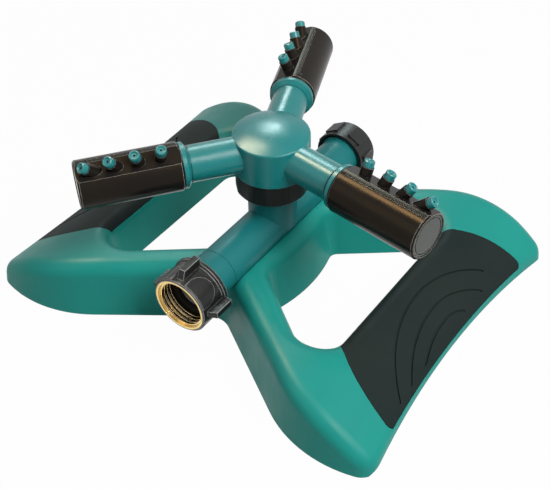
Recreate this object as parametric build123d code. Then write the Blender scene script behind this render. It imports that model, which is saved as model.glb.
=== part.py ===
from build123d import *
import math
import os

# Rotary lawn sprinkler: a three-arm rotor on a bow-tie base. Millimetres, +Z up. The origin is on
# the ground under the pivot, X runs from wing to wing and the hose comes in from the -Y side.

same_place = 1e-3  # points closer than this are one point
overshoot = 1.0  # how far a cutting shape runs past what it cuts

# Base shell: ground outline
base_half_depth = 96.0  # middle to the furthest point of a wing along Y
base_half_width = 120.2  # middle to a wing's corner along X
outer_edge_bow = 6.8  # how far a wing's outer edge curves in at its middle
edge_angle = 33.7  # front and back edges run away from X at this angle
notch_half_depth = 46.5  # where the edges of the two wings meet at the waist
notch_radius = 13.0
shoulder_radius = 66.0
corner_radius = 10.0

# Base shell: height and walls
deck_height = 31.5
deck_half_flat = 55.0  # the deck is level this far out, then falls to the lip
deck_fall_radius = 95.0
deck_edge_radius = 8.0
outer_draft = 8.0
shell_wall = 3.0
undercut_depth = 9.6  # the foot stands in from the lip by this much at the middle of a wing
undercut_end_depth = 3.0  # and by this much near the wing's corners
undercut_half_length = 90.0
undercut_angle = 51.0

# Wing openings, outline on the ground
opening_waist_x = 24.8  # waist wall at y = 0
opening_waist_bulge = 4.0
opening_waist_half = 26.2  # where the waist wall meets the slanted wall
opening_slant = 37.0
opening_outer_x = 68.9
opening_inner_radius = 5.0
opening_outer_radius = 9.0
opening_draft = 11.0

# Grip pads
pad_thickness = 1.4
pad_gap = 0.2
pad_inner_x = 68.0  # the pad reaches over the inner edge as far as this
pad_inner_half = 42.0
pad_middle_x = 91.0
pad_middle_half = 61.3
pad_outer_half = 68.5
pad_rim = 1.6  # rim left between the pad and the ground outline of the outer edge
pad_lip_wall = 1.5  # wall between the pad and the undercut of the lip
pad_wrap_z = 23.5  # how far down the pad comes on the inner wall
pad_wrap_x = 78.0
pad_corner_radius = 2.5
pad_groove_width = 1.0
pad_groove_depth = 0.7
pad_groove_tops_x = (87.5, 97.2, 104.6)  # each groove's place nearest to the pivot
pad_groove_top_y = 2.0
pad_groove_back_radii = (63.0, 49.0, 26.0)
pad_groove_back_ends_y = (44.5, 34.0, 16.0)
pad_groove_front_radius = 76.0  # towards the hose, where the grooves run out at the pad's rim
pad_groove_inset = 2.0

# Stiffening ribs and screw posts under the deck
rib_thickness = 2.2
rib_clear_of_ground = 8.0
cross_rib_y = 15.0
bar_rib_x = 44.0
post_y = 31.0
post_radius = 4.5
post_foot_z = 11.0
post_fit = 0.15
boss_wall = 2.4
boss_floor = 3.0
screw_radius = 1.7
screw_length = 13.0
screw_head_radius = 3.4
screw_head_height = 2.3
screw_slot_width = 0.9
screw_slot_depth = 1.0
screw_pilot_spare = 1.0
screw_hole_clearance = 0.3
screw_pilot_clearance = 0.05

# Water tube
tube_height = 35.5
tube_radius = 11.5
tube_bore = 8.0
saddle_fit = 0.1
riser_radius = 13.0
riser_bore = 7.2
seam_at = 48.5  # parting line round the tube, towards the hose
seam_width = 0.35
seam_depth = 0.25

# Hose thread, shared by the inlet, the outlet and the cap
thread_pitch = 2.209
thread_minor = 12.2
thread_major = 13.4
thread_root_width = 1.45
thread_crest_width = 0.45
thread_clearance = 0.28
thread_embed = 0.2  # the ridge reaches this far into the wall that carries it

# Outlet and screw cap
outlet_end = 75.0  # how far the tube's end is from the pivot
outlet_thread_start = 65.5
outlet_thread_turns = 3.4
cap_radius = 14.6
cap_skirt = 65.0
cap_wall = 2.4
cap_thread_spare = 0.1  # turns by which the cap's groove is longer than the tube's ridge
cap_pad_count = 6
cap_pad_height = 0.8
cap_pad_width = 8.5
cap_pad_length = 9.0
cap_washer_thickness = 2.0
cap_washer_bore = 8.5

# Inlet swivel nut
nut_front = 79.4  # how far the nut's mouth is from the pivot
nut_length = 19.4
nut_radius = 15.4
nut_rim_radius = 16.4
nut_rim_length = 4.2
nut_tail_radius = 13.9
nut_lug_radius = 20.0
nut_lug_width = 3.6
nut_lug_start = 3.0
nut_lug_crest = 5.0
nut_lug_end = 16.5
nut_lug_count = 4
nut_lug_phase = 1.0
tongue_height = 0.5
tongue_half_width = 7.6
tongue_length = 12.8
insert_radius = 14.5
insert_length = 11.4
insert_mouth_depth = 1.2
insert_mouth_gap = 0.1
nut_running_fit = 0.3

# Inlet tailpiece, washer and screen
tail_flange_radius = 12.9
tail_flange_thickness = 2.0
tail_shank_radius = 9.3
tail_spigot_radius = 7.95
tail_spigot_length = 13.0
tail_bore = 6.2
nut_lip_thickness = 2.6
flat_running_gap = 0.1
washer_thickness = 2.0
washer_radius = 12.4
washer_bore = 8.4
washer_seat_gap = 0.2
washer_seat_spare = 0.4  # the seat is deeper than the washer by this much
screen_radius = 7.6
screen_rim_depth = 1.0
screen_dome_height = 1.8
screen_thickness = 0.6
screen_hole_radius = 0.55
screen_hole_pitch = 1.7
screen_hole_rings = 3
screen_holes_per_ring = 6  # in the first ring, and as many more in each ring after it
screen_fit = 0.1

# Bearing collar
collar_foot_z = 58.2
collar_top_z = 71.0
collar_radius = 19.0
collar_facets = 12
collar_facet_depth = 0.35
collar_foot_chamfer = 1.4
collar_lip_thickness = 2.8
collar_spigot_fit = 0.05
spindle_running_fit = 0.08

# Spindle, thrust washers, circlip and seal
spindle_radius = 6.5
spindle_bore = 4.6
spindle_foot_z = 49.0
cover_plate_fit = 0.1
cover_plate_thickness = 3.0
thrust_washer_radius = 14.0
thrust_washer_thickness = 1.0
thrust_washer_stand = 0.2  # the upper washer stands this far above the collar
thrust_washer_recess_gap = 0.1
thrust_washer_clearance = 0.3  # round the spindle
lower_washer_radius = 8.8
lower_washer_thickness = 0.9
riser_chamber_radius = 9.2
riser_chamber_foot_z = 61.0
circlip_thickness = 1.1
circlip_radius = 8.3
circlip_seat_radius = 5.6
circlip_opening = 50.0
spindle_seal_z = 55.0
spindle_seal_radius = 0.85
seal_running_fit = 0.05
seal_seat_gap = 0.03

# Hub and arms
hub_radius = 19.7
hub_foot_z = 71.5
hub_rim_z = 91.5
hub_dome_rise = 4.5
hub_rim_radius = 0.9
hub_wall = 3.0
arm_count = 3
arm_first_azimuth = -7.95
arm_height = 82.2
arm_radius = 9.4
arm_bore = 5.8
arm_flange_start = 43.4
arm_flange_cone = 1.6
arm_flange_end = 47.0
arm_flange_radius = 11.7
arm_groove_width = 0.5
arm_groove_depth = 0.4
spigot_radius = 8.2
spigot_end = 63.0

# Nozzle barrels
barrel_start_gap = 0.15
barrel_end = 98.9
barrel_radius = 12.4
barrel_flat = 11.3  # distance of the nozzle flat from the arm's axis
barrel_tilt = 23.0  # the nozzle flat leans this far from straight up
barrel_bore = 8.5
barrel_chamber = 9.8
barrel_step_end = 60.0
barrel_edge = 0.9
line_start = 51.0  # fine line along the barrel beside the nozzle flat
line_end = 97.6
line_angle = 35.0  # from the flat's middle, on the side away from the lean
line_hook_angle = 9.0  # how far the line turns down round the barrel at its start
line_width = 0.5
line_depth = 0.4
barrel_seal_at = 53.0
barrel_seal_radius = 0.8
snap_ring_thickness = 1.2
snap_ring_radius = 9.3
snap_ring_seat_radius = 7.3
snap_ring_opening = 40.0
plug_radius = 10.7
plug_disc = 1.6
plug_recess = 0.3
plug_spigot = 4.0
plug_fit = 0.1
plug_ring_groove = 0.5
plug_ring_inset = 1.0

# Nozzles
nozzle_count = 4
nozzle_first = 57.0
nozzle_spacing = 11.1
nozzle_lean_step = 16.0
nozzle_stub_radius = 3.1
nozzle_stub_length = 4.8
nozzle_pin_radius = 1.6
nozzle_pin_length = 1.6
nozzle_pin_fit = 0.05
nozzle_bore = 1.1
tip_radius = 2.7
tip_height = 3.2
tip_recess_radius = 1.9
tip_recess_depth = 0.7
tip_hole = 0.6
tip_edge = 0.4


def turned(points, axis=Axis.Z):
    """Solid of revolution from points given as (along X, along Z)."""
    return revolve(Plane.XZ * make_face(Polyline(*points, close=True)), axis)


def rod(radius, low, high):
    """Round rod about Z between two heights."""
    return Pos(0, 0, low) * Cylinder(radius, high - low, align=(Align.CENTER, Align.CENTER, Align.MIN))


def ring(outer, inner, low, high):
    """Flat ring about Z."""
    return rod(outer, low, high) - rod(inner, low, high)


def around(count, phase=0.0):
    """Turns about Z for a round pattern."""
    return [Rot(0, 0, phase + 360.0 * k / count) for k in range(count)]


def helical_ridge(clearance, turns, lead_turns=0.0):
    """Hose thread ridge about Z, root to crest, grown by a clearance on every side."""
    root = thread_minor - clearance - thread_embed
    crest = thread_major + clearance
    slope = (thread_root_width - thread_crest_width) / 2 / (thread_major - thread_minor)
    half_root = thread_root_width / 2 + clearance + slope * (thread_minor - root)
    half_crest = thread_crest_width / 2 + clearance * (1 - slope)
    low, high = [(root, -half_root), (crest, -half_crest)], [(crest, half_crest), (root, half_root)]
    section = Polyline(*low, *high, close=True)
    path = Helix(thread_pitch, thread_pitch * turns, thread_minor)
    ridge = sweep(Plane.XZ * make_face(section), path=path, is_frenet=True)
    return Pos(0, 0, -lead_turns * thread_pitch) * ridge


def facing_up(sketch):
    """The sketch's face with its normal along +Z."""
    face = sketch.face()
    return face if face.normal_at().Z > 0 else -face


def drafted(outline, height, draft):
    """Block standing on the ground over an outline, its walls leaning in by the draft."""
    block = extrude(outline, height, taper=draft)
    return block if block.center().Z > 0 else mirror(block, about=Plane.XY)


# Base shell


def deck_z(x, inset=0.0):
    """Height of the deck over a point of the X axis."""
    over = max(0.0, abs(x) - deck_half_flat)
    radius = deck_fall_radius - inset
    return deck_height - deck_fall_radius + math.sqrt(max(0.0, radius**2 - over**2))


shoulder_y = base_half_depth - shoulder_radius
edge_sine = math.sin(math.radians(edge_angle))
edge_cosine = math.cos(math.radians(edge_angle))
shoulder_x = (shoulder_radius + (shoulder_y - notch_half_depth) * edge_cosine) / edge_sine
corner_y = shoulder_y + math.sqrt(shoulder_radius**2 - (base_half_width - shoulder_x) ** 2)
outer_edge_radius = (corner_y**2 + outer_edge_bow**2) / 2 / outer_edge_bow
outer_edge_centre = base_half_width - outer_edge_bow + outer_edge_radius


def crossing(first, first_radius, second, second_radius):
    """Upper crossing of two circles in the ground plane."""
    gap = Vector(*second) - Vector(*first)
    along = (first_radius**2 - second_radius**2 + gap.length**2) / 2 / gap.length
    across = math.sqrt(first_radius**2 - along**2)
    way = gap.normalized()
    side = Vector(-way.Y, way.X)
    points = [Vector(*first) + way * along + side * across * sign for sign in (1, -1)]
    return max(points, key=lambda p: p.Y)


def base_outline(inset=0.0):
    """Bow-tie outline on the ground with rounded corners and waist, moved in by the inset."""
    radius = shoulder_radius - inset
    start = (shoulder_x - radius * edge_sine, shoulder_y + radius * edge_cosine)
    corner = crossing((shoulder_x, shoulder_y), radius, (outer_edge_centre, 0), outer_edge_radius + inset)
    quarter = [
        Line((0, notch_half_depth - inset / edge_cosine), start),
        ThreePointArc(start, (shoulder_x, shoulder_y + radius), corner),
    ]
    half = quarter + [mirror(edge, about=Plane.XZ) for edge in quarter]
    end_middle = (outer_edge_centre - outer_edge_radius - inset, 0)
    wing = half + [ThreePointArc(corner, end_middle, (corner.X, -corner.Y))]
    outline = make_face(wing + [mirror(edge, about=Plane.YZ) for edge in wing])
    notches = [v for v in outline.vertices() if abs(v.X) < same_place]
    outline = fillet(notches, notch_radius + inset)
    corners = [v for v in outline.vertices() if abs(abs(v.X) - corner.X) < same_place]
    return facing_up(fillet(corners, corner_radius - inset))


def opening_outline(inset=0.0):
    """Outline of the right wing's opening on the ground, grown by the inset."""
    bulge_radius = (opening_waist_half**2 + opening_waist_bulge**2) / 2 / opening_waist_bulge
    bulge_centre = opening_waist_x - bulge_radius
    slope = math.tan(math.radians(opening_slant))
    lift = inset / math.cos(math.radians(opening_slant))
    waist_x = opening_waist_x - opening_waist_bulge
    level = opening_waist_half + lift - slope * waist_x  # slanted wall's height over x = 0
    bend = 1 + slope**2
    half_sum = (bulge_centre - slope * level) / bend
    rest = (bulge_centre**2 + level**2 - (bulge_radius - inset) ** 2) / bend
    low_x = half_sum + math.sqrt(half_sum**2 - rest)
    low = (low_x, level + slope * low_x)
    high_x = opening_outer_x + inset
    high = (high_x, level + slope * high_x)
    edges = [
        ThreePointArc((low[0], -low[1]), (opening_waist_x - inset, 0), low),
        Line(low, high),
        Line(high, (high[0], -high[1])),
        Line((high[0], -high[1]), (low[0], -low[1])),
    ]
    outline = make_face(edges)
    outer = [v for v in outline.vertices() if abs(v.X - high_x) < same_place]
    outline = fillet(outer, opening_outer_radius + inset)
    inner = [v for v in outline.vertices() if abs(v.X - low_x) < same_place]
    return facing_up(fillet(inner, opening_inner_radius + inset))


def deck_prism(inset):
    """Everything below the deck, as a bar along Y."""
    reach = base_half_width + overshoot
    fall = deck_z(reach, inset)
    middle = (deck_half_flat + reach) / 2
    arc = ThreePointArc(
        (deck_half_flat, deck_height - inset), (middle, deck_z(middle, inset)), (reach, fall)
    )
    edges = [
        Line((-deck_half_flat, deck_height - inset), (deck_half_flat, deck_height - inset)),
        arc,
        mirror(arc, about=Plane.YZ),
        Line((reach, fall), (reach, -overshoot)),
        Line((reach, -overshoot), (-reach, -overshoot)),
        Line((-reach, -overshoot), (-reach, fall)),
    ]
    return extrude(Plane.XZ * make_face(edges), base_half_depth + overshoot, both=True)


def base_form(inset=0.0):
    """The base as a solid block, every outer face moved in by the inset."""
    height = deck_height - inset + overshoot
    form = drafted(base_outline(inset), height, outer_draft) & deck_prism(inset)
    hole = drafted(opening_outline(inset), height, -opening_draft)
    form = form - hole - mirror(hole, about=Plane.YZ)

    def on_deck(edge):
        points = [edge @ 0.0, edge @ 0.5, edge @ 1.0]
        return all(abs(p.Z - deck_z(p.X, inset)) < same_place for p in points)

    def on_seam(edge):
        return all(abs(abs((edge @ t).X) - deck_half_flat) < same_place for t in (0.0, 0.5, 1.0))

    rim = [edge for edge in form.edges() if on_deck(edge) and not on_seam(edge)]
    return fillet(rim, deck_edge_radius - inset)


def undercut(inset=0.0):
    """Hollow under the lips of both wings, deepest at their middle."""
    foot_x = base_half_width - outer_edge_bow - undercut_depth
    sagitta = base_half_width - undercut_end_depth - foot_x
    radius = (undercut_half_length**2 + sagitta**2) / 2 / sagitta
    shrink = deck_height * math.tan(math.radians(undercut_angle))
    bottom = Align.CENTER, Align.CENTER, Align.MIN
    cone = Cone(radius + inset, radius + inset - shrink, deck_height, align=bottom)
    right = Pos(foot_x + radius, 0, 0) * cone
    return right + mirror(right, about=Plane.YZ)


def along_tube(shape):
    """Turns a shape made about Z so that its height runs along the tube, +Z to +Y."""
    return Plane(origin=(0, 0, tube_height), x_dir=(1, 0, 0), z_dir=(0, 1, 0)) * shape


def against_tube(shape):
    """Turns a shape made about Z so that its height runs to the hose, +Z to -Y."""
    return Plane(origin=(0, 0, tube_height), x_dir=(1, 0, 0), z_dir=(0, -1, 0)) * shape


def tube_room(gap):
    """The tube and the foot of its riser, grown by a gap, the tube as long as the base."""
    room = along_tube(rod(tube_radius + gap, -base_half_depth, base_half_depth))
    return room + rod(riser_radius + gap, tube_height, collar_foot_z)


def pad_prism(gap=0.0):
    """Upright block over the right pad's outline, drawn in by a gap."""
    outer_radius = outer_edge_radius + pad_rim + gap
    outer_half = pad_outer_half - gap
    outer_x = outer_edge_centre - math.sqrt(outer_radius**2 - outer_half**2)
    inner, outer = (pad_inner_x, pad_inner_half - gap), (outer_x, outer_half)
    end = ThreePointArc(inner, (pad_middle_x, pad_middle_half - gap), outer)
    side = ThreePointArc(outer, (outer_edge_centre - outer_radius, 0), (outer_x, -outer_half))
    wrap = Line((pad_inner_x, gap - pad_inner_half), inner)
    outline = make_face([end, side, mirror(end, about=Plane.XZ), wrap])
    corners = [v for v in outline.vertices() if v.X > pad_middle_x]
    block = extrude(fillet(corners, pad_corner_radius), deck_height + overshoot, dir=(0, 0, 1))
    width = pad_wrap_x - pad_inner_x
    low = Align.MIN, Align.CENTER, Align.MIN
    return block - Pos(pad_inner_x, 0, 0) * Box(width, 2 * base_half_depth, pad_wrap_z + gap, align=low)


def pad_form(gap=0.0):
    """The right pad's room in the shell, drawn in at its rim by a gap and clear of the undercut."""
    return (block_form & pad_prism(gap)) - pad_floor_form - undercut(pad_lip_wall + gap)


def screw_posts(make):
    """One shape at each of the two screw posts under the tube."""
    return [Pos(0, side * post_y, 0) * make for side in (1, -1)]


boss_foot_z = post_foot_z - boss_floor
boss_radius = post_radius + post_fit + boss_wall
tube_foot_z = tube_height - tube_radius
block_form = base_form()
pad_floor_form = base_form(pad_thickness)
groove_floor_form = base_form(pad_groove_depth)
cavity_form = base_form(shell_wall)


def base_shell():
    """Moulded bow-tie shell with saddle, pad recesses, ribs and screw bosses."""
    cavity = cavity_form - undercut(shell_wall) - tube_room(saddle_fit + shell_wall)
    shell = block_form - undercut() - cavity
    rib_height = deck_height - rib_clear_of_ground
    low = Align.CENTER, Align.CENTER, Align.MIN
    cross = Box(2 * base_half_width, rib_thickness, rib_height, align=low)
    bar = Box(rib_thickness, 2 * base_half_depth, rib_height, align=low)
    for side in (1, -1):
        shell += Pos(0, side * cross_rib_y, rib_clear_of_ground) * cross & cavity
        shell += Pos(side * bar_rib_x, 0, rib_clear_of_ground) * bar & cavity
    boss = rod(boss_radius, boss_foot_z, tube_height)
    hole = rod(post_radius + post_fit, post_foot_z, tube_height)
    hole += rod(screw_radius + screw_hole_clearance, boss_foot_z, post_foot_z)
    for solid, drill in zip(screw_posts(boss), screw_posts(hole)):
        shell = shell + (solid & block_form) - drill
    shell -= tube_room(saddle_fit)
    recess = pad_form()
    return shell - recess - mirror(recess, about=Plane.YZ)


def pad_groove_arc(top_x, radius, low_y, high_y):
    """Upright curved wall from one place along Y to another, as deep as a groove is wide."""
    half = pad_groove_width / 2
    wall = ring(radius + half, radius - half, 0, deck_height + overshoot)
    corner = Align.MIN, Align.MIN, Align.MIN
    span = Box(radius, high_y - low_y, deck_height + overshoot, align=corner)
    return Pos(top_x + radius, pad_groove_top_y, 0) * wall & Pos(top_x - half, low_y, 0) * span


def grip_pad():
    """Soft pad of the right wing, flush with the deck, with three curved grooves."""
    pad = pad_form(pad_gap)
    skin = (block_form & pad_prism(pad_gap + pad_groove_inset)) - groove_floor_form
    for top_x, radius, end_y in zip(pad_groove_tops_x, pad_groove_back_radii, pad_groove_back_ends_y):
        pad -= pad_groove_arc(top_x, radius, pad_groove_top_y, end_y) & skin
        pad -= pad_groove_arc(top_x, pad_groove_front_radius, -base_half_depth, pad_groove_top_y) & skin
    return pad


# Inlet, along the axis to the hose

insert_foot = nut_front - insert_length
flange_face = insert_foot - flat_running_gap
flange_foot = flange_face - tail_flange_thickness
lip_face = flange_foot - flat_running_gap
lip_foot = lip_face - nut_lip_thickness
tube_front = lip_foot - nut_running_fit
nut_foot = nut_front - nut_length


def swivel_nut():
    """Nut with four lugs and four raised tongues between them."""
    rim_face = nut_foot + nut_rim_length
    rim_step = nut_rim_radius - nut_radius
    tail_step = nut_rim_radius - nut_tail_radius
    edge = nut_radius - insert_radius
    nut = turned([
        (0, nut_foot),
        (nut_tail_radius, nut_foot),
        (nut_rim_radius, nut_foot + tail_step / 2),
        (nut_rim_radius, rim_face - rim_step),
        (nut_radius, rim_face),
        (nut_radius, nut_front - edge / 2),
        (nut_radius - edge / 2, nut_front),
        (0, nut_front),
    ])
    inside = insert_radius - overshoot
    lug_points = [
        (inside, nut_front - nut_lug_start),
        (nut_radius, nut_front - nut_lug_start),
        (nut_lug_radius, nut_front - nut_lug_crest),
        (nut_lug_radius, nut_front - nut_lug_end),
        (inside, nut_front - nut_lug_end),
    ]
    lug = extrude(Plane.XZ * make_face(Polyline(*lug_points, close=True)), nut_lug_width / 2, both=True)
    nut += [turn * lug for turn in around(nut_lug_count, nut_lug_phase)]
    arch_z = nut_front - tongue_length + tongue_half_width
    arch = make_face([
        Line((-tongue_half_width, arch_z), (-tongue_half_width, nut_front - edge)),
        Line((-tongue_half_width, nut_front - edge), (tongue_half_width, nut_front - edge)),
        Line((tongue_half_width, nut_front - edge), (tongue_half_width, arch_z)),
        ThreePointArc(
            (tongue_half_width, arch_z), (0, nut_front - tongue_length), (-tongue_half_width, arch_z)
        ),
    ])
    block = extrude(Plane.YZ * arch, nut_lug_radius, dir=(1, 0, 0))
    tongue = block & ring(nut_radius + tongue_height, inside, nut_foot, nut_front)
    nut += [turn * tongue for turn in around(nut_lug_count, nut_lug_phase + 180.0 / nut_lug_count)]
    nut -= rod(insert_radius, insert_foot, nut_front)
    nut -= rod(tail_flange_radius + nut_running_fit, lip_face, insert_foot)
    nut -= rod(tail_shank_radius + nut_running_fit, lip_foot, lip_face)
    nut -= rod(tube_radius + nut_running_fit, nut_foot, lip_foot)
    return against_tube(nut)


def thread_insert():
    """Brass ring with the female hose thread."""
    seat_end = insert_foot + washer_thickness + washer_seat_spare
    insert = ring(insert_radius, thread_minor, insert_foot, nut_front)
    insert -= rod(washer_radius + washer_seat_gap, insert_foot, seat_end)
    insert -= rod(thread_major + insert_mouth_gap, nut_front - insert_mouth_depth, nut_front)
    start = seat_end + thread_root_width / 2
    turns = math.ceil((nut_front - start) / thread_pitch) + 1
    return against_tube(insert - Pos(0, 0, start) * helical_ridge(0.0, turns))


def inlet_washer():
    """Flat rubber washer that the hose seals on."""
    return against_tube(ring(washer_radius, washer_bore, insert_foot, insert_foot + washer_thickness))


def tailpiece():
    """Flanged sleeve fixed in the tube, which carries the nut."""
    tail = turned([
        (tail_bore, tube_front - tail_spigot_length),
        (tail_spigot_radius, tube_front - tail_spigot_length),
        (tail_spigot_radius, tube_front),
        (tail_shank_radius, tube_front),
        (tail_shank_radius, flange_foot),
        (tail_flange_radius, flange_foot),
        (tail_flange_radius, flange_face),
        (screen_radius + screen_fit, flange_face),
        (screen_radius + screen_fit, flange_face - screen_rim_depth),
        (tail_bore, flange_face - screen_rim_depth),
    ])
    return against_tube(tail)


def filter_screen():
    """Domed screen with rings of holes, seated in the tailpiece."""
    seat = flange_face - screen_rim_depth
    radius = (screen_radius**2 + screen_dome_height**2) / 2 / screen_dome_height
    centre = flange_face + screen_dome_height - radius
    inner = radius - screen_thickness
    dome = Pos(0, 0, centre) * (Sphere(radius) - Sphere(inner))
    dome &= rod(screen_radius, flange_face, flange_face + screen_dome_height)
    rim_bore = math.sqrt(inner**2 - (flange_face - centre) ** 2)
    screen = dome + ring(screen_radius, rim_bore, seat, flange_face)
    drill = rod(screen_hole_radius, seat, nut_front)
    holes = [drill]
    for k in range(1, screen_hole_rings + 1):
        hole = Pos(k * screen_hole_pitch, 0, 0) * drill
        holes += [turn * hole for turn in around(screen_holes_per_ring * k)]
    return against_tube(screen - holes)


# Outlet and cap, along the axis away from the hose

cap_end = outlet_end + cap_washer_thickness + cap_wall
outlet_thread_at = outlet_thread_start + thread_root_width / 2


def end_cap():
    """Screw cap with flat grip pads and a female thread that runs out at its mouth."""
    cap = chamfer(rod(cap_radius, cap_skirt, cap_end).edges().group_by(Axis.Z)[-1], cap_pad_height)
    thickness = 2 * cap_wall
    grip = Box(thickness, cap_pad_width, cap_pad_length)
    reach = cap_radius + cap_pad_height - thickness / 2
    middle = (cap_skirt + cap_end) / 2
    cap += [turn * Pos(reach, 0, middle) * grip for turn in around(cap_pad_count)]
    cap -= rod(thread_minor + thread_clearance, cap_skirt, cap_end - cap_wall)
    run_out = math.ceil((outlet_thread_at - cap_skirt) / thread_pitch) + 1
    groove = helical_ridge(thread_clearance, run_out + outlet_thread_turns + cap_thread_spare, run_out)
    return along_tube(cap - Pos(0, 0, outlet_thread_at) * groove)


def end_cap_washer():
    """Rubber washer between the cap and the tube's end."""
    return along_tube(ring(thread_minor, cap_washer_bore, outlet_end, outlet_end + cap_washer_thickness))


# Pivot heights

collar_lip_z = collar_top_z - thrust_washer_thickness + thrust_washer_stand
collar_lip_foot_z = collar_lip_z - collar_lip_thickness
cover_plate_z = collar_top_z + thrust_washer_stand + flat_running_gap
lower_washer_z = collar_lip_foot_z - flat_running_gap - lower_washer_thickness
circlip_z = lower_washer_z - circlip_thickness


def manifold_tee():
    """Water tube with its tee, riser, screw posts and threaded outlet."""
    tube = rod(tube_radius, -tube_front, outlet_thread_start)
    tube -= ring(tube_radius, tube_radius - seam_depth, -seam_at, seam_width - seam_at)
    tube += rod(thread_minor, outlet_thread_start, outlet_end)
    tube += Pos(0, 0, outlet_thread_at) * helical_ridge(0.0, outlet_thread_turns)
    tee = along_tube(tube)
    tee += rod(riser_radius, tube_height, collar_lip_foot_z)
    tee += screw_posts(rod(post_radius, post_foot_z, tube_height))
    tee -= along_tube(rod(tube_bore, -tube_front, outlet_end))
    tee -= rod(riser_bore, tube_height, riser_chamber_foot_z)
    tee -= rod(riser_chamber_radius, riser_chamber_foot_z, collar_lip_foot_z)
    pilot_end = boss_foot_z + screw_length + screw_pilot_spare
    tee -= screw_posts(rod(screw_radius + screw_pilot_clearance, post_foot_z, pilot_end))
    return tee


def base_screws():
    """The two pan-head screws under the tube."""
    screw = rod(screw_head_radius, boss_foot_z - screw_head_height, boss_foot_z)
    screw += rod(screw_radius, boss_foot_z, boss_foot_z + screw_length)
    slot = Box(2 * screw_head_radius, screw_slot_width, 2 * screw_slot_depth)
    screw -= Pos(0, 0, boss_foot_z - screw_head_height) * slot
    return Compound(children=[post.solid() for post in screw_posts(screw)])


def bearing_collar():
    """Faceted collar on the riser, whose lip carries the rotor."""
    outer = turned([
        (0, collar_foot_z),
        (collar_radius - collar_foot_chamfer, collar_foot_z),
        (collar_radius, collar_foot_z + collar_foot_chamfer),
        (collar_radius, collar_top_z),
        (0, collar_top_z),
    ])
    apothem = collar_radius - collar_facet_depth
    facets = RegularPolygon(apothem, collar_facets, major_radius=False)
    collar = outer & Pos(0, 0, collar_foot_z) * extrude(facets, collar_top_z - collar_foot_z)
    collar -= rod(riser_radius + collar_spigot_fit, collar_foot_z, collar_lip_foot_z)
    collar -= rod(spindle_radius + spindle_running_fit, collar_lip_foot_z, collar_lip_z)
    return collar - rod(thrust_washer_radius + thrust_washer_recess_gap, collar_lip_z, collar_top_z)


def split_ring(outer, inner, low, high, opening):
    """Flat ring about Z with a gap, as a circlip has."""
    far = 2 * outer
    half = math.radians(opening / 2)
    gap = Polyline((0, 0), (far, far * math.tan(half)), (far, -far * math.tan(half)), close=True)
    wedge = extrude(make_face(gap), high - low, dir=(0, 0, 1))
    return ring(outer, inner, low, high) - Pos(0, 0, low) * wedge


def seal(outer, section):
    """O-ring about Z at height 0."""
    return Torus(outer - section, section)


def seal_groove(outer, section, body):
    """Groove about Z at height 0 for such a ring in a body's surface."""
    half = section + seal_seat_gap
    return ring(body + overshoot, outer - 2 * section - seal_seat_gap, -half, half)


spindle_seal_outer = riser_bore - seal_running_fit
barrel_seal_outer = barrel_bore - seal_running_fit


def rotor_spindle():
    """Hollow spindle with the plate that closes the hub."""
    spindle = rod(spindle_radius, spindle_foot_z, cover_plate_z)
    plate = hub_radius - hub_wall - cover_plate_fit
    spindle += rod(plate, cover_plate_z, cover_plate_z + cover_plate_thickness)
    spindle -= rod(spindle_bore, spindle_foot_z, cover_plate_z + cover_plate_thickness)
    spindle -= ring(spindle_radius + overshoot, circlip_seat_radius, circlip_z, lower_washer_z)
    return spindle - Pos(0, 0, spindle_seal_z) * seal_groove(
        spindle_seal_outer, spindle_seal_radius, spindle_radius
    )


# Arms, made along X and then turned to their place

arm_places = [Rot(0, 0, arm_first_azimuth + 360.0 * k / arm_count) for k in range(arm_count)]
arm_frame = Pos(0, 0, arm_height)
upright_to_arm = Rot(0, 90, 0)  # turns a shape made about Z so that its height runs along the arm
snap_ring_at = barrel_step_end + flat_running_gap


def arm():
    """Arm tube with flange and spigot, seal and snap ring grooves, no bore."""
    cone_end = arm_flange_start + arm_flange_cone
    groove_at = arm_flange_start - arm_groove_width
    body = turned([
        (0, 0),
        (spigot_end, 0),
        (spigot_end, spigot_radius),
        (arm_flange_end, spigot_radius),
        (arm_flange_end, arm_flange_radius),
        (cone_end, arm_flange_radius),
        (arm_flange_start, arm_radius),
        (arm_flange_start, arm_radius - arm_groove_depth),
        (groove_at, arm_radius - arm_groove_depth),
        (groove_at, arm_radius),
        (0, arm_radius),
    ], Axis.X)
    grooves = Pos(0, 0, barrel_seal_at) * seal_groove(barrel_seal_outer, barrel_seal_radius, spigot_radius)
    seat_end = snap_ring_at + snap_ring_thickness
    grooves += ring(spigot_radius + overshoot, snap_ring_seat_radius, snap_ring_at, seat_end)
    return body - upright_to_arm * grooves


def rotor_hub():
    """Domed hub with its three arms, hollow and open below."""
    dome_radius = (hub_radius**2 + hub_dome_rise**2) / 2 / hub_dome_rise
    top_z = hub_rim_z + hub_dome_rise
    half = hub_radius / 2
    half_z = top_z - dome_radius + math.sqrt(dome_radius**2 - half**2)
    section = make_face([
        Line((0, hub_foot_z), (hub_radius, hub_foot_z)),
        Line((hub_radius, hub_foot_z), (hub_radius, hub_rim_z)),
        ThreePointArc((hub_radius, hub_rim_z), (half, half_z), (0, top_z)),
        Line((0, top_z), (0, hub_foot_z)),
    ])
    rim = [v for v in section.vertices() if v.X > half and v.Y > hub_foot_z + half]
    hub = revolve(Plane.XZ * fillet(rim, hub_rim_radius), Axis.Z)
    hub += [place * arm_frame * arm() for place in arm_places]
    hub -= rod(hub_radius - hub_wall, hub_foot_z, hub_rim_z - hub_wall)
    bore = upright_to_arm * rod(arm_bore, 0, spigot_end)
    return hub - [place * arm_frame * bore for place in arm_places]


def on_barrel(shape):
    """Leans a shape made with the nozzle flat on top to the flat's real tilt."""
    return arm_frame * Rot(-barrel_tilt, 0, 0) * shape


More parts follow.
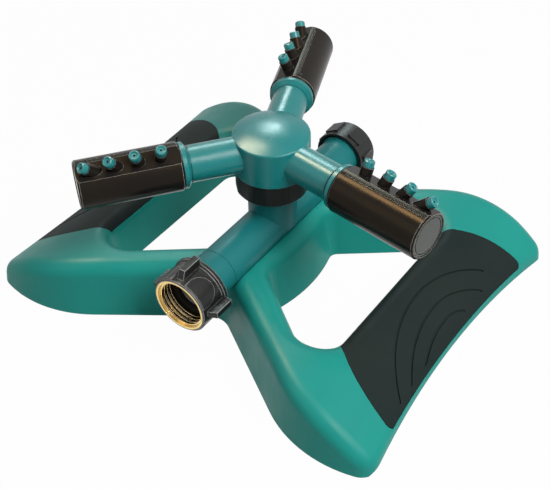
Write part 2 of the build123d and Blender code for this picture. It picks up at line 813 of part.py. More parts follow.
nozzle_frames = [
    Pos(nozzle_first + k * nozzle_spacing, 0, barrel_flat) * Rot(0, k * nozzle_lean_step, 0)
    for k in range(nozzle_count)
]


def nozzle_barrel():
    """Barrel with a nozzle flat, four nozzle stubs and a fine line beside the flat."""
    start = arm_flange_end + barrel_start_gap
    barrel = turned([
        (start, 0),
        (barrel_end, 0),
        (barrel_end, barrel_radius - barrel_edge),
        (barrel_end - barrel_edge, barrel_radius),
        (start + barrel_edge, barrel_radius),
        (start, barrel_radius - barrel_edge),
    ], Axis.X)
    floor = barrel_radius - line_depth
    top = barrel_radius + overshoot
    line = Box(line_end - line_start, line_width, 2 * (top - floor))
    line = Pos((line_start + line_end) / 2, 0, top) * line
    hook_end = line_start + line_width
    hook_points = [(line_start, floor), (hook_end, floor), (hook_end, top), (line_start, top)]
    line += revolve(Plane.XZ * make_face(Polyline(*hook_points, close=True)), Axis.X, line_hook_angle)
    barrel -= Rot(line_angle, 0, 0) * line
    above = Align.MIN, Align.CENTER, Align.MIN
    slab = Box(barrel_end, 2 * barrel_radius, barrel_radius, align=above)
    barrel -= Pos(0, 0, barrel_flat) * slab
    stub = rod(nozzle_stub_radius, -nozzle_stub_length, nozzle_stub_length)
    stub += rod(nozzle_pin_radius, 0, nozzle_stub_length + nozzle_pin_length)
    barrel += [frame * stub for frame in nozzle_frames]
    seat = barrel_end - plug_recess - plug_disc
    inside = rod(barrel_bore, start, barrel_step_end)
    inside += rod(barrel_chamber, barrel_step_end, barrel_end)
    inside += rod(plug_radius + plug_fit, seat, barrel_end)
    barrel -= upright_to_arm * inside
    drill = rod(nozzle_bore, -barrel_radius / 2, nozzle_stub_length + nozzle_pin_length)
    return on_barrel(barrel - [frame * drill for frame in nozzle_frames])


def barrel_end_plug():
    """Plug with a flush disc and a ring line near its edge."""
    face = barrel_end - plug_recess
    seat = face - plug_disc
    plug = rod(plug_radius, seat, face) + rod(barrel_chamber - plug_fit, seat - plug_spigot, seat)
    line = plug_radius - plug_ring_inset
    plug -= ring(line, line - plug_ring_groove, face - plug_ring_groove, face)
    return on_barrel(upright_to_arm * plug)


def nozzle_tip(frame):
    """Cap on one nozzle stub, dished on top, with a jet hole."""
    socket = nozzle_pin_radius + nozzle_pin_fit
    depth = nozzle_pin_length + nozzle_pin_fit
    dish = tip_height - tip_recess_depth
    tip = turned([
        (socket, 0),
        (tip_radius, 0),
        (tip_radius, tip_height - tip_edge),
        (tip_radius - tip_edge, tip_height),
        (tip_recess_radius, tip_height),
        (tip_recess_radius - tip_edge, dish),
        (tip_hole, dish),
        (tip_hole, depth),
        (socket, depth),
    ])
    return on_barrel(frame * Pos(0, 0, nozzle_stub_length) * tip)


def nodes():
    """Every node's name and shape, in order."""
    yield "base_shell", base_shell()
    pad = grip_pad()
    yield "right_grip_pad", pad
    yield "left_grip_pad", mirror(pad, about=Plane.YZ)
    yield "manifold_tee", manifold_tee()
    yield "base_screws", base_screws()
    yield "inlet_tailpiece", tailpiece()
    yield "inlet_filter_screen", filter_screen()
    yield "inlet_swivel_nut", swivel_nut()
    yield "inlet_thread_insert", thread_insert()
    yield "inlet_washer", inlet_washer()
    yield "end_cap", end_cap()
    yield "end_cap_washer", end_cap_washer()
    yield "bearing_collar", bearing_collar()
    washer_bore_radius = spindle_radius + thrust_washer_clearance
    upper_z = collar_lip_z + thrust_washer_thickness
    yield "upper_thrust_washer", ring(thrust_washer_radius, washer_bore_radius, collar_lip_z, upper_z)
    lower_z = lower_washer_z + lower_washer_thickness
    yield "lower_thrust_washer", ring(lower_washer_radius, washer_bore_radius, lower_washer_z, lower_z)
    clip = circlip_radius, circlip_seat_radius + seal_seat_gap, circlip_z, lower_washer_z
    yield "spindle_circlip", split_ring(*clip, circlip_opening)
    yield "spindle_o_ring", Pos(0, 0, spindle_seal_z) * seal(spindle_seal_outer, spindle_seal_radius)
    yield "rotor_spindle", rotor_spindle()
    yield "rotor_hub", rotor_hub()
    barrel = nozzle_barrel()
    plug = barrel_end_plug()
    o_ring = Pos(0, 0, barrel_seal_at) * seal(barrel_seal_outer, barrel_seal_radius)
    clip = snap_ring_radius, snap_ring_seat_radius + seal_seat_gap, 0, snap_ring_thickness
    snap_ring = Pos(0, 0, snap_ring_at) * split_ring(*clip, snap_ring_opening)
    for number, place in enumerate(arm_places, 1):
        yield f"nozzle_barrel_{number}", place * barrel
        yield f"barrel_end_plug_{number}", place * plug
        yield f"barrel_o_ring_{number}", place * arm_frame * upright_to_arm * o_ring
        yield f"barrel_snap_ring_{number}", place * arm_frame * upright_to_arm * snap_ring
        for k, frame in enumerate(nozzle_frames, 1):
            yield f"nozzle_tip_{number}_{k}", place * nozzle_tip(frame)


os.makedirs("parts", exist_ok=True)
for name, shape in nodes():
    export_step(shape, f"parts/{name}.step")
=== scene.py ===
import logging
import math
from dataclasses import dataclass
from enum import Enum
from functools import cache

import bpy
from mathutils import Matrix, Vector

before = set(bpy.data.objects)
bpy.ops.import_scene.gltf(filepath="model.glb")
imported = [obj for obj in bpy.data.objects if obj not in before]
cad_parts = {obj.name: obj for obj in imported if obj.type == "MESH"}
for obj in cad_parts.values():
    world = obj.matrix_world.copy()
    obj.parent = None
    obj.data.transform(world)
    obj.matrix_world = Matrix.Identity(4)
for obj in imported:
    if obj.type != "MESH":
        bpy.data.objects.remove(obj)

log = logging.getLogger("sprinkler")
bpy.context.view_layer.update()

Colour = tuple[float, float, float]
Point = tuple[float, float, float]
Span = tuple[float, float]
Socket = bpy.types.NodeSocket

CRISP = 28.0  # degrees: the edges that turn by more stay crisp on most pieces


class Detail(Enum):
    """How broken up a noise is: its octaves of finer noise."""

    SMOOTH = 2.0
    BLOTCHY = 4.0
    BUSY = 5.0


class Shader:
    """Node tree of one material: a principled surface fed by textures in the object's own place."""

    MIDDLE: Span = (0.35, 0.65)  # where most of a noise's values lie
    EDGE_TURN: Span = (0.955, 0.995)  # cosine of the turn on an edge and away from it
    AIR_SAMPLES = 8  # rays that test how open a place is
    GROOVE_REACH = 0.002  # a wall nearer than this many metres makes a groove
    GROOVE_AIR: Span = (0.15, 0.6)  # openness where the painted shade is darkest and where it ends
    OPEN_AIR: Span = (0.6, 0.9)  # openness where the painted edge highlight starts and where it is full
    CREVICE_SHADE_SHARE = 0.85  # share of the painted shade's colour where it is darkest
    MIX_SHARE, MIX_FIRST, MIX_SECOND, MIX_RESULT = 0, 6, 7, 2  # a mix node's sockets for colours

    def __init__(self, name: str) -> None:
        """Starts an empty tree.

        Args:
            name: the material's name.
        """
        self.material = bpy.data.materials.new(name)
        self.material.use_nodes = True
        self.tree = self.material.node_tree
        self.tree.nodes.clear()
        self.surface = self.node("ShaderNodeBsdfPrincipled")
        output = self.node("ShaderNodeOutputMaterial")
        self.tree.links.new(self.surface.outputs["BSDF"], output.inputs["Surface"])
        self.place = self.node("ShaderNodeTexCoord").outputs["Object"]

    def node(self, kind: str) -> bpy.types.Node:
        """Adds a node of one kind."""
        return self.tree.nodes.new(kind)

    def feed(self, socket: Socket, value: object) -> None:
        """Links a socket or sets its value.

        Args:
            socket: the input to fill.
            value: another node's output, a number, a colour or a vector.
        """
        if isinstance(value, bpy.types.NodeSocket):
            self.tree.links.new(value, socket)
        elif socket.type == "RGBA" and len(value) == 3:
            socket.default_value = (*value, 1.0)
        else:
            socket.default_value = value

    def set(self, **values: object) -> None:
        """Fills the surface's sockets, named with underscores for spaces."""
        for name, value in values.items():
            self.feed(self.surface.inputs[name.replace("_", " ")], value)

    def noise(self, size: float, detail: Detail, stretch: Point = (1.0, 1.0, 1.0)) -> Socket:
        """Noise from 0 to 1.

        Args:
            size: width of one blotch in metres.
            detail: how broken up it is.
            stretch: how much longer the blotches are along each axis.

        Returns:
            The noise's value.
        """
        mapping = self.node("ShaderNodeMapping")
        mapping.inputs["Scale"].default_value = tuple(1.0 / s for s in stretch)
        self.feed(mapping.inputs["Vector"], self.place)
        noise = self.node("ShaderNodeTexNoise")
        noise.inputs["Scale"].default_value = 1.0 / size
        noise.inputs["Detail"].default_value = detail.value
        self.feed(noise.inputs["Vector"], mapping.outputs["Vector"])
        return noise.outputs["Fac"]

    def spread(self, value: Socket, low: float, high: float, read: Span = MIDDLE) -> Socket:
        """Maps part of a value's range to another range.

        Args:
            value: the value to map.
            low: result at the start of the range that is read.
            high: result at its end.
            read: the range that is read.

        Returns:
            The mapped value.
        """
        node = self.node("ShaderNodeMapRange")
        self.feed(node.inputs["Value"], value)
        node.inputs["From Min"].default_value, node.inputs["From Max"].default_value = read
        node.inputs["To Min"].default_value = low
        node.inputs["To Max"].default_value = high
        return node.outputs["Result"]

    def mix(self, amount: Socket, first: object, second: object) -> Socket:
        """Mixes two colours.

        Args:
            amount: share of the second colour.
            first: colour or output.
            second: colour or output.

        Returns:
            The mixed colour.
        """
        node = self.node("ShaderNodeMix")
        node.data_type = "RGBA"
        self.feed(node.inputs[self.MIX_SHARE], amount)
        self.feed(node.inputs[self.MIX_FIRST], first)
        self.feed(node.inputs[self.MIX_SECOND], second)
        return node.outputs[self.MIX_RESULT]

    def product(self, first: Socket, second: Socket) -> Socket:
        """Multiplies two values.

        Args:
            first: the first value.
            second: the second value.

        Returns:
            The product.
        """
        node = self.node("ShaderNodeMath")
        node.operation = "MULTIPLY"
        self.feed(node.inputs[0], first)
        self.feed(node.inputs[1], second)
        return node.outputs[0]

    def rounded(self, radius: float) -> Socket:
        """Normal of the surface as if its edges were rounded.

        Args:
            radius: the rounding's radius in metres.

        Returns:
            The normal.
        """
        bevel = self.node("ShaderNodeBevel")
        bevel.inputs["Radius"].default_value = radius
        return bevel.outputs["Normal"]

    def edges(self, radius: float) -> Socket:
        """Mask that is 1 on sharp edges, raised or hollow.

        Args:
            radius: how far the mask reaches from an edge, in metres.

        Returns:
            The mask.
        """
        turn = self.node("ShaderNodeVectorMath")
        turn.operation = "DOT_PRODUCT"
        self.feed(turn.inputs[0], self.rounded(radius))
        self.feed(turn.inputs[1], self.node("ShaderNodeNewGeometry").outputs["Normal"])
        return self.spread(turn.outputs["Value"], 1.0, 0.0, self.EDGE_TURN)

    def openness(self, reach: float) -> Socket:
        """How open the surface is: 1 in the open, near 0 deep in a groove.

        Args:
            reach: how far away a neighbour still counts, in metres.

        Returns:
            The openness.
        """
        shade = self.node("ShaderNodeAmbientOcclusion")
        shade.samples = self.AIR_SAMPLES
        shade.inputs["Distance"].default_value = reach
        return shade.outputs["AO"]

    def paint_light_and_shade(self, colour: Socket, edge: Colour, edge_highlight: float, crevice_shade: Colour, radius: float) -> Socket:
        """Painted highlights on raised edges and painted shade in hollows over a colour.

        Args:
            colour: the clean colour.
            edge: colour of the painted highlight on the edges.
            edge_highlight: share of the painted highlight's colour where it is strongest.
            crevice_shade: colour of the painted shade in grooves and gaps.
            radius: how far the painted highlight reaches from an edge, in metres.

        Returns:
            The colour with painted highlights and painted shade.
        """
        # painted shade darkens grooves and gaps by how closed in they are; a painted highlight pales
        # open sharp edges
        air = self.openness(self.GROOVE_REACH)
        shade_amount = self.spread(air, self.CREVICE_SHADE_SHARE, 0.0, self.GROOVE_AIR)
        highlight_amount = self.product(self.edges(radius), self.spread(air, 0.0, edge_highlight, self.OPEN_AIR))
        return self.mix(highlight_amount, self.mix(shade_amount, colour, crevice_shade), edge)

    def relief(self, height: Socket, depth: float, round_edges: float) -> None:
        """Bumps the surface and rounds its edges.

        Args:
            height: relief from 0 to 1.
            depth: height of the relief in metres.
            round_edges: radius in metres over which sharp edges catch light.
        """
        bump = self.node("ShaderNodeBump")
        bump.inputs["Distance"].default_value = depth
        self.feed(bump.inputs["Height"], height)
        self.feed(bump.inputs["Normal"], self.rounded(round_edges))
        self.feed(self.surface.inputs["Normal"], bump.outputs["Normal"])


class Gloss(Enum):
    """How shiny a moulded surface is: the range of its roughness."""

    SATIN = (0.36, 0.46)
    GLOSS = (0.24, 0.34)
    SLEEK = (0.18, 0.26)
    POLISHED = (0.10, 0.16)


@dataclass(frozen=True)
class MouldedPlastic:
    """Injection moulded plastic: flow marks, fine grain, painted highlights on edges and painted
    shade in grooves.

    Attributes:
        name: the material's name.
        colour: main colour.
        shade: colour of the flow marks.
        edge: colour of the painted highlight on raised edges.
        gloss: how shiny it is.
        crevice_shade: colour of the painted shade in grooves and gaps.
        edge_highlight: how strongly the painted highlight shows on the edges.
        specular: strength of its plain reflection.
        tint: colour of that reflection.
        round_edges: radius in metres over which sharp edges catch light and take the painted
            highlight.
        flow_size: width of a flow mark in metres.
        flow_stretch: how much longer flow marks are along each axis.
        smudge_size: width of a duller or shinier patch in metres.
        grain_size: width of the moulded grain in metres.
        grain_depth: depth of the moulded grain in metres.
    """

    name: str
    colour: Colour
    shade: Colour
    edge: Colour
    gloss: Gloss
    crevice_shade: Colour = (0.004, 0.030, 0.028)
    edge_highlight: float = 0.35
    specular: float = 0.5
    tint: Colour = (1.0, 1.0, 1.0)
    round_edges: float = 0.0004
    flow_size: float = 0.035
    flow_stretch: Point = (1.0, 1.6, 0.7)
    smudge_size: float = 0.012
    grain_size: float = 0.0004
    grain_depth: float = 0.00002

    def material(self) -> bpy.types.Material:
        """Builds the material.

        Returns:
            The new material.
        """
        shader = Shader(self.name)
        flow = shader.noise(self.flow_size, Detail.BLOTCHY, self.flow_stretch)
        colour = shader.mix(shader.spread(flow, 0.0, 1.0), self.colour, self.shade)
        # painted highlight on the edges and painted shade in grooves
        colour = shader.paint_light_and_shade(colour, self.edge, self.edge_highlight, self.crevice_shade, self.round_edges)
        smudge = shader.noise(self.smudge_size, Detail.BUSY)
        grain = shader.noise(self.grain_size, Detail.SMOOTH)
        shader.set(
            Base_Color=colour,
            Roughness=shader.spread(smudge, *self.gloss.value),
            Specular_IOR_Level=self.specular,
            Specular_Tint=self.tint,
        )
        shader.relief(grain, self.grain_depth, self.round_edges)
        return shader.material


@dataclass(frozen=True)
class SoftRubber:
    """Soft rubbery plastic: dusty, with a pebbled skin, painted highlights on edges and painted shade
    in grooves.

    Attributes:
        name: the material's name.
        colour: main colour.
        dust_and_highlight: colour of the dusty bloom, and of the painted highlight on the edges.
        roughness: lowest and highest roughness.
        pebble: width of one pebble in metres.
        pebble_depth: depth of the pebbling in metres.
        bloom_size: width of a dusty patch in metres.
        crevice_shade: colour of the painted shade in grooves and gaps.
        edge_highlight: how strongly the painted highlight shows on the edges.
        highlight_reach: how far that reaches from an edge, in metres.
        round_edges: radius in metres over which sharp edges catch light.
        specular: strength of its plain reflection.
    """

    name: str
    colour: Colour
    dust_and_highlight: Colour
    roughness: Span
    pebble: float = 0.0006
    pebble_depth: float = 0.00006
    bloom_size: float = 0.03
    crevice_shade: Colour = (0.004, 0.004, 0.004)
    edge_highlight: float = 0.5
    highlight_reach: float = 0.0004
    round_edges: float = 0.0003
    specular: float = 0.05

    def material(self) -> bpy.types.Material:
        """Builds the material.

        Returns:
            The new material.
        """
        shader = Shader(self.name)
        bloom = shader.noise(self.bloom_size, Detail.BLOTCHY)
        colour = shader.mix(shader.spread(bloom, 0.0, 1.0), self.colour, self.dust_and_highlight)
        # painted highlight on the edges and painted shade in grooves
        colour = shader.paint_light_and_shade(colour, self.dust_and_highlight, self.edge_highlight, self.crevice_shade, self.highlight_reach)
        pebbles = shader.noise(self.pebble, Detail.SMOOTH)
        shader.set(
            Base_Color=colour,
            Roughness=shader.spread(bloom, *self.roughness),
            Specular_IOR_Level=self.specular,
        )
        shader.relief(pebbles, self.pebble_depth, self.round_edges)
        return shader.material


@dataclass(frozen=True)
class TurnedMetal:
    """Turned or plated metal with tool marks, tarnish, painted shade in grooves and painted glints on
    edges.

    Attributes:
        name: the material's name.
        colour: bright metal.
        tarnish: colour of the dull patches.
        hollow: colour of the painted shade deep in grooves.
        roughness: lowest and highest roughness.
        bright: colour of the painted glint on the edges.
        patch_size: width of a dull patch in metres.
        patches: range of the patches' noise that turns bright metal to tarnish.
        mark_size: width of a tool mark in metres.
        mark_stretch: how much longer tool marks are along each axis.
        mark_depth: depth of the tool marks in metres.
        groove_reach: how far away a wall still darkens a groove with painted shade, in metres.
        groove_air: openness where a groove is darkest and where it is bright.
        edge_reach: how far the painted glints reach from an edge, in metres.
        round_edges: radius in metres over which sharp edges catch light.
    """

    name: str
    colour: Colour
    tarnish: Colour
    hollow: Colour
    roughness: Span
    bright: Colour = (1.0, 0.92, 0.66)
    patch_size: float = 0.004
    patches: Span = (0.45, 0.75)
    mark_size: float = 0.0012
    mark_stretch: Point = (1.0, 0.12, 1.0)
    mark_depth: float = 0.00002
    groove_reach: float = 0.008
    groove_air: Span = (0.30, 0.75)
    edge_reach: float = 0.0003
    round_edges: float = 0.0002

    def material(self) -> bpy.types.Material:
        """Builds the material.

        Returns:
            The new material.
        """
        shader = Shader(self.name)
        patches = shader.noise(self.patch_size, Detail.BLOTCHY)
        lines = shader.noise(self.mark_size, Detail.SMOOTH, self.mark_stretch)
        dull = shader.spread(patches, 0.0, 1.0, self.patches)
        # painted shade deep in grooves and painted glints on sharp edges
        deep = shader.spread(shader.openness(self.groove_reach), 1.0, 0.0, self.groove_air)
        colour = shader.mix(dull, self.colour, self.tarnish)
        colour = shader.mix(deep, colour, self.hollow)
        colour = shader.mix(shader.edges(self.edge_reach), colour, self.bright)
        shader.set(Base_Color=colour, Metallic=1.0, Roughness=shader.spread(lines, *self.roughness))
        shader.relief(lines, self.mark_depth, self.round_edges)
        return shader.material


class Finish(Enum):
    """Every finish of the sprinkler, built once and shared."""

    # each finish's edge colour is a painted highlight on sharp edges, and its grime colour a painted
    # shade in grooves
    SHELL = MouldedPlastic(
        name="shell_plastic",
        colour=(0.012, 0.282, 0.246),
        shade=(0.011, 0.262, 0.232),
        edge=(0.05, 0.40, 0.36),
        gloss=Gloss.SATIN,
        specular=0.16,
    )
    TUBE = MouldedPlastic(
        name="tube_plastic",
        colour=(0.009, 0.172, 0.182),
        shade=(0.008, 0.158, 0.170),
        edge=(0.06, 0.34, 0.33),
        gloss=Gloss.SATIN,
        specular=0.24,
    )
    ROTOR = MouldedPlastic(
        name="rotor_plastic",
        colour=(0.007, 0.204, 0.208),
        shade=(0.006, 0.188, 0.196),
        edge=(0.06, 0.38, 0.37),
        gloss=Gloss.GLOSS,
        specular=0.36,
    )
    TIP = MouldedPlastic(
        name="tip_plastic",
        colour=(0.009, 0.225, 0.238),
        shade=(0.009, 0.208, 0.224),
        edge=(0.06, 0.40, 0.40),
        gloss=Gloss.GLOSS,
        round_edges=0.0003,
        flow_size=0.004,
    )
    BARREL = MouldedPlastic(
        name="barrel_plastic",
        colour=(0.009, 0.009, 0.010),
        shade=(0.013, 0.012, 0.011),
        edge=(0.46, 0.46, 0.44),
        gloss=Gloss.SLEEK,
        crevice_shade=(0.002, 0.002, 0.002),
        edge_highlight=0.8,
        specular=0.11,
        tint=(1.0, 0.68, 0.36),
    )
    NUT = MouldedPlastic(
        name="nut_plastic",
        colour=(0.008, 0.009, 0.010),
        shade=(0.011, 0.011, 0.011),
        edge=(0.44, 0.45, 0.45),
        gloss=Gloss.GLOSS,
        crevice_shade=(0.002, 0.002, 0.002),
        edge_highlight=0.9,
        specular=0.3,
        round_edges=0.0006,
    )
    COLLAR = MouldedPlastic(
        name="collar_plastic",
        colour=(0.005, 0.005, 0.006),
        shade=(0.008, 0.008, 0.008),
        edge=(0.14, 0.14, 0.14),
        gloss=Gloss.SATIN,
        crevice_shade=(0.001, 0.001, 0.001),
        specular=0.2,
    )
    CAP = MouldedPlastic(
        name="cap_plastic",
        colour=(0.014, 0.016, 0.016),
        shade=(0.018, 0.019, 0.019),
        edge=(0.12, 0.12, 0.12),
        gloss=Gloss.SATIN,
        crevice_shade=(0.003, 0.003, 0.003),
        specular=0.25,
    )
    PLUG = MouldedPlastic(
        name="plug_plastic",
        colour=(0.038, 0.046, 0.041),
        shade=(0.034, 0.040, 0.036),
        edge=(0.26, 0.27, 0.25),
        gloss=Gloss.POLISHED,
        crevice_shade=(0.006, 0.006, 0.006),
        edge_highlight=0.6,
        specular=0.3,
        round_edges=0.0003,
        flow_size=0.008,
        grain_depth=0.000004,
    )
    INNER = MouldedPlastic(
        name="inner_plastic",
        colour=(0.55, 0.55, 0.51),
        shade=(0.50, 0.50, 0.46),
        edge=(0.65, 0.65, 0.62),
        gloss=Gloss.SATIN,
        crevice_shade=(0.10, 0.10, 0.09),
        flow_size=0.006,
    )
    PAD = SoftRubber(
        name="pad_rubber",
        colour=(0.013, 0.022, 0.022),
        dust_and_highlight=(0.018, 0.026, 0.025),
        roughness=(0.50, 0.66),
    )
    SEAL = SoftRubber(
        name="seal_rubber",
        colour=(0.012, 0.012, 0.012),
        dust_and_highlight=(0.02, 0.02, 0.02),
        roughness=(0.55, 0.7),
        pebble=0.0003,
        pebble_depth=0.00002,
    )
    BRASS = TurnedMetal(
        name="turned_brass",
        colour=(0.86, 0.64, 0.24),
        tarnish=(0.72, 0.48, 0.15),
        hollow=(0.09, 0.045, 0.010),
        roughness=(0.14, 0.26),
    )
    STEEL = TurnedMetal(
        name="plated_steel",
        colour=(0.62, 0.62, 0.62),
        tarnish=(0.45, 0.45, 0.44),
        hollow=(0.20, 0.20, 0.20),
        roughness=(0.25, 0.4),
    )

    @cache
    def material(self) -> bpy.types.Material:
        """The finish's material, built on first use."""
        return self.value.material()


def dress(finish: Finish, crisp: float, *nodes: str) -> None:
    """Gives CAD nodes a finish and smooth shading.

    Args:
        finish: what the pieces are made of.
        crisp: edges that turn by more degrees than this stay crisp.
        nodes: the nodes' names.
    """
    material = finish.material()
    for name in nodes:
        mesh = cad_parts[name].data
        mesh.materials.clear()
        mesh.materials.append(material)
        mesh.shade_smooth()
        mesh.set_sharp_from_angle(angle=math.radians(crisp))
        log.info("%s dressed in %s", name, material.name)


@dataclass
class Base:
    """Bow-tie shell with its pads and the tube's screws.

    Attributes:
        crisp: edges that turn by more degrees than this stay crisp.
    """

    crisp: float = CRISP

    def build(self) -> None:
        """Dresses the base's nodes."""
        dress(Finish.SHELL, self.crisp, "base_shell")
        dress(Finish.PAD, self.crisp, "left_grip_pad", "right_grip_pad")
        dress(Finish.STEEL, self.crisp, "base_screws")


@dataclass
class WaterTube:
    """Tube, riser and bearing collar.

    Attributes:
        crisp: edges that turn by more degrees than this stay crisp.
    """

    crisp: float = CRISP

    def build(self) -> None:
        """Dresses the tube's nodes."""
        dress(Finish.TUBE, self.crisp, "manifold_tee")
        dress(Finish.COLLAR, self.crisp, "bearing_collar")
        dress(Finish.INNER, self.crisp, "upper_thrust_washer")


@dataclass
class HoseInlet:
    """Swivel nut, thread ring, washer, screen and tailpiece.

    Attributes:
        crisp: edges that turn by more degrees than this stay crisp.
    """

    crisp: float = CRISP

    def build(self) -> None:
        """Dresses the inlet's nodes."""
        dress(Finish.NUT, self.crisp, "inlet_swivel_nut")
        dress(Finish.BRASS, self.crisp, "inlet_thread_insert")
        dress(Finish.SEAL, self.crisp, "inlet_washer")
        dress(Finish.STEEL, self.crisp, "inlet_filter_screen")
        dress(Finish.INNER, self.crisp, "inlet_tailpiece")


@dataclass
class OutletCap:
    """Screw cap and its washer.

    Attributes:
        crisp: edges that turn by more degrees than this stay crisp.
    """

    crisp: float = CRISP

    def build(self) -> None:
        """Dresses the cap's nodes."""
        dress(Finish.CAP, self.crisp, "end_cap")
        dress(Finish.SEAL, self.crisp, "end_cap_washer")


@dataclass
class Rotor:
    """Hub, arms and spindle with what holds them.

    Attributes:
        arms: how many arms the hub has.
        crisp: edges that turn by more degrees than this stay crisp.
    """

    arms: int = 3
    crisp: float = CRISP

    def build(self) -> None:
        """Dresses the rotor's nodes."""
        dress(Finish.ROTOR, self.crisp, "rotor_hub")
        dress(Finish.INNER, self.crisp, "rotor_spindle", "lower_thrust_washer")
        dress(Finish.STEEL, self.crisp, "spindle_circlip")
        dress(Finish.SEAL, self.crisp, "spindle_o_ring")
        for arm in range(1, self.arms + 1):
            dress(Finish.SEAL, self.crisp, f"barrel_o_ring_{arm}")
            dress(Finish.STEEL, self.crisp, f"barrel_snap_ring_{arm}")


@dataclass
class Barrel:
    """One nozzle barrel with its plug and tips.

    Attributes:
        number: which arm it sits on.
        tips: how many nozzle tips it has.
        crisp: edges of the plug and tips that turn by more degrees than this stay crisp.
        flat_crisp: the same for the barrel, lower because its nozzle flat has low edges.
    """

    number: int
    tips: int = 4
    crisp: float = CRISP
    flat_crisp: float = 15.0

    def build(self) -> None:
        """Dresses the barrel's nodes."""
        dress(Finish.BARREL, self.flat_crisp, f"nozzle_barrel_{self.number}")
        dress(Finish.PLUG, self.crisp, f"barrel_end_plug_{self.number}")
        tips = (f"nozzle_tip_{self.number}_{tip}" for tip in range(1, self.tips + 1))
        dress(Finish.TIP, self.crisp, *tips)


@dataclass(frozen=True)
class Softbox:
    """One lamp that faces the object.

    Attributes:
        name: the lamp's name.
        place: its middle in metres.
        size: width and height in metres.
        power: watts.
        colour: colour of its light.
        matt_too: whether it lights matt surfaces as well as giving reflections.
        aim: the point that it faces.
    """

    name: str
    place: Point
    size: Span
    power: float
    colour: Colour
    matt_too: bool = True
    aim: Point = (0.0, 0.0, 0.04)

    def hang(self) -> None:
        """Adds the lamp to the scene."""
        light = bpy.data.lights.new(self.name, "AREA")
        light.shape = "RECTANGLE"
        light.size, light.size_y = self.size
        light.energy = self.power
        light.color = self.colour
        lamp = bpy.data.objects.new(self.name, light)
        lamp.location = self.place
        lamp.visible_diffuse = self.matt_too
        towards = Vector(self.aim) - Vector(self.place)
        lamp.rotation_euler = towards.to_track_quat("-Z", "Y").to_euler()
        bpy.context.scene.collection.objects.link(lamp)


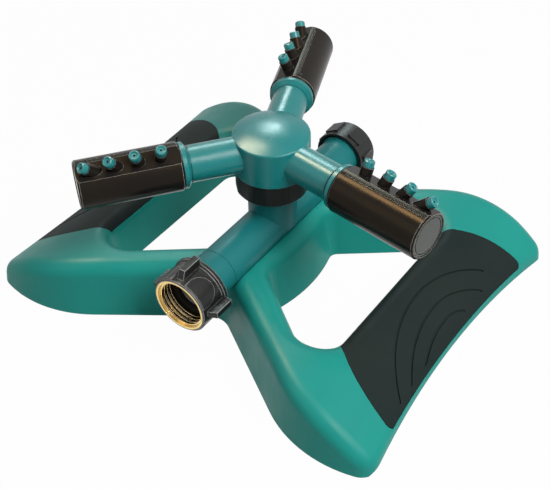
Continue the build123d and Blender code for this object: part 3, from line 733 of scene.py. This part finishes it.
@dataclass
class Studio:
    """Floor, lights, world and camera.

    Attributes:
        floor_half: half the floor's width in metres.
        floor_gap: how far the floor lies under the object, in metres.
        floor_colour: the floor's colour in the light that it gives back.
        floor_glow: how much of the floor is plain white to the camera, the rest takes shadows.
        world_light: strength of the even light from all round.
        camera_place: the camera's place in metres.
        camera_right: direction to the right of the picture.
        camera_up: direction to the top of the picture.
        camera_back: direction from the object to the camera.
        lens: focal length in millimetres.
        shift: shift of the picture, sideways and up.
        near: nearest distance that the camera shows, in metres.
        lamps: the softboxes.
    """

    floor_half: float = 3.0
    floor_gap: float = 0.0002
    floor_colour: Colour = (0.42, 0.42, 0.42)
    floor_glow: float = 0.978
    world_light: float = 0.17
    camera_place: Point = (0.256496, -0.351131, 0.412709)
    camera_right: Point = (0.815998, 0.577907, -0.01306)
    camera_up: Point = (-0.384857, 0.559994, 0.733684)
    camera_back: Point = (0.431315, -0.593658, 0.679366)
    lens: float = 70.5977
    shift: Span = (-0.00132, 0.01529)
    near: float = 0.01
    lamps: tuple[Softbox, ...] = (
        Softbox("key", (0.66, -0.05, 0.88), (0.6, 0.6), 12.0, (1.0, 0.98, 0.94)),
        Softbox("front", (-0.45, -0.80, 0.75), (0.6, 0.6), 1.4, (1.0, 0.97, 0.93)),
        Softbox("window", (-0.52, 0.72, 0.83), (0.30, 0.40), 7.5, (0.80, 1.0, 1.0), matt_too=False),
        Softbox("gleam", (-0.52, 0.06, 1.00), (0.26, 0.62), 15.0, (1.0, 0.84, 0.58), matt_too=False),
    )

    @staticmethod
    def seen(tree: bpy.types.NodeTree, unseen_value: float, seen_value: float) -> Socket:
        """Tells rays that show a thing from rays that light other things with it.

        Args:
            tree: the material's or the world's nodes.
            unseen_value: value for the rays that only bring light.
            seen_value: value for camera, mirror and see-through rays.

        Returns:
            A value for each ray.
        """
        rays = tree.nodes.new("ShaderNodeLightPath")
        shown = rays.outputs["Is Camera Ray"]
        for other in ("Is Glossy Ray", "Is Transmission Ray"):
            either = tree.nodes.new("ShaderNodeMath")
            either.operation = "MAXIMUM"
            tree.links.new(shown, either.inputs[0])
            tree.links.new(rays.outputs[other], either.inputs[1])
            shown = either.outputs[0]
        value = tree.nodes.new("ShaderNodeMapRange")
        value.inputs["To Min"].default_value = unseen_value
        value.inputs["To Max"].default_value = seen_value
        tree.links.new(shown, value.inputs["Value"])
        return value.outputs["Result"]

    def paper(self) -> bpy.types.Material:
        """Builds the floor's material.

        Returns:
            The material, white to the camera and still shaded under the object.
        """
        material = bpy.data.materials.new("floor_paper")
        material.use_nodes = True
        tree = material.node_tree
        tree.nodes.clear()
        matt = tree.nodes.new("ShaderNodeBsdfDiffuse")
        matt.inputs["Color"].default_value = (*self.floor_colour, 1.0)
        glow = tree.nodes.new("ShaderNodeEmission")
        blend = tree.nodes.new("ShaderNodeMixShader")
        tree.links.new(self.seen(tree, 0.0, self.floor_glow), blend.inputs[0])
        tree.links.new(matt.outputs[0], blend.inputs[1])
        tree.links.new(glow.outputs[0], blend.inputs[2])
        output = tree.nodes.new("ShaderNodeOutputMaterial")
        tree.links.new(blend.outputs[0], output.inputs["Surface"])
        return material

    def floor(self) -> None:
        """Lays the floor just under the object."""
        half, drop = self.floor_half, -self.floor_gap
        corners = [(-half, -half, drop), (half, -half, drop), (half, half, drop), (-half, half, drop)]
        mesh = bpy.data.meshes.new("floor")
        mesh.from_pydata(corners, [], [(0, 1, 2, 3)])
        mesh.materials.append(self.paper())
        floor = bpy.data.objects.new("floor", mesh)
        bpy.context.scene.collection.objects.link(floor)

    def world(self) -> None:
        """Sets even white surroundings, full white to the camera and in reflections."""
        world = bpy.data.worlds.new("studio")
        bpy.context.scene.world = world
        world.use_nodes = True
        tree = world.node_tree
        back = tree.nodes["Background"]
        back.inputs["Color"].default_value = (1.0, 1.0, 1.0, 1.0)
        tree.links.new(self.seen(tree, self.world_light, 1.0), back.inputs["Strength"])

    def camera(self) -> None:
        """Sets the camera where the photograph was taken from."""
        camera = bpy.data.cameras.new("camera")
        camera.lens = self.lens
        camera.shift_x, camera.shift_y = self.shift
        camera.clip_start = self.near
        holder = bpy.data.objects.new("camera", camera)
        turn = Matrix((self.camera_right, self.camera_up, self.camera_back)).transposed()
        holder.matrix_world = Matrix.Translation(self.camera_place) @ turn.to_4x4()
        bpy.context.scene.collection.objects.link(holder)
        bpy.context.scene.camera = holder

    def build(self) -> None:
        """Sets up everything round the object."""
        bpy.context.scene.view_settings.view_transform = "Standard"
        self.floor()
        self.world()
        for lamp in self.lamps:
            lamp.hang()
        self.camera()


def main() -> None:
    """Builds the sprinkler and its studio."""
    logging.basicConfig(level=logging.INFO, format="%(name)s: %(message)s")
    rotor = Rotor()
    assemblies = [Base(), WaterTube(), HoseInlet(), OutletCap(), rotor]
    assemblies += [Barrel(number) for number in range(1, rotor.arms + 1)]
    for assembly in assemblies:
        assembly.build()
        log.info("%s done", type(assembly).__name__)
    Studio().build()


if __name__ == "__main__":
    main()
